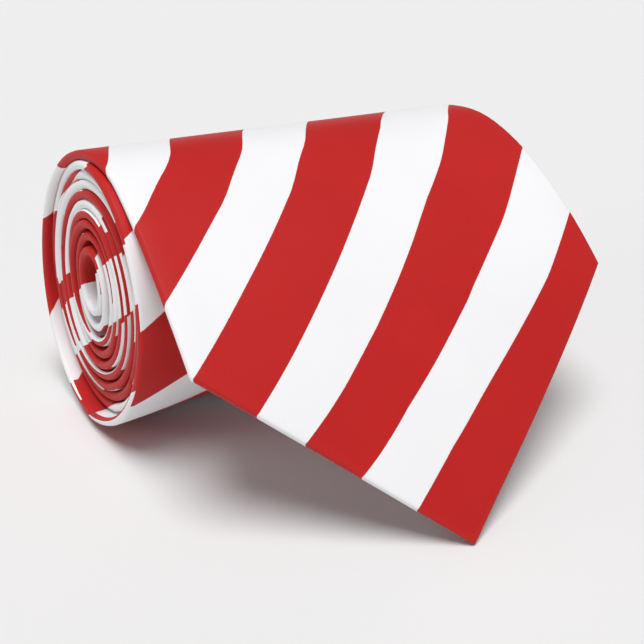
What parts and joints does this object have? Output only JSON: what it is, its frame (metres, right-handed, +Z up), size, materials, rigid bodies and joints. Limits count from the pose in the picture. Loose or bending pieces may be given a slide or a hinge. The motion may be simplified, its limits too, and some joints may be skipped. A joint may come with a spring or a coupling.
{
  "type": "necktie",
  "caption": "Printed necktie rolled up from its narrow end, with the wide pointed end draped off the roll.",
  "frame": {"origin": "centre of the bounding box, at the table under the roll", "axes": "+Z up from the table, +Y along the roll's axis towards its far end, +X from the roll towards the draped tip"},
  "size_m": [0.1152, 0.102, 0.0685],
  "materials": {
    "face_cloth": "printed polyester satin, red and white diagonal stripes",
    "interlining": "brushed",
    "tipping": "smooth lining satin",
    "thread": "polyester thread",
    "label": "woven label, blank"
  },
  "bodies": {
    "roll": {"blade_face_wrap": "face_cloth", "neck_face": "face_cloth", "tail_face": "face_cloth", "interlining_wrap": "interlining", "tail_tipping": "tipping", "slip_stitch": "thread", "tail_bar_tack": "thread", "blade_to_neck_seam": "thread", "neck_to_tail_seam": "thread", "keeper_loop": "face_cloth", "name_label": "label", "care_label": "label"},
    "drape": {"blade_face_drape": "face_cloth", "interlining_drape": "interlining", "blade_tipping": "tipping", "blade_bar_tack": "thread"}
  },
  "joints": [
    {"name": "blade_lift", "type": "hinge", "parent": "roll", "child": "drape", "pos_m": [-0.01216, 0, 0.06846], "axis": [0, -1, 0], "range_deg": [0, 55]}
  ]
}
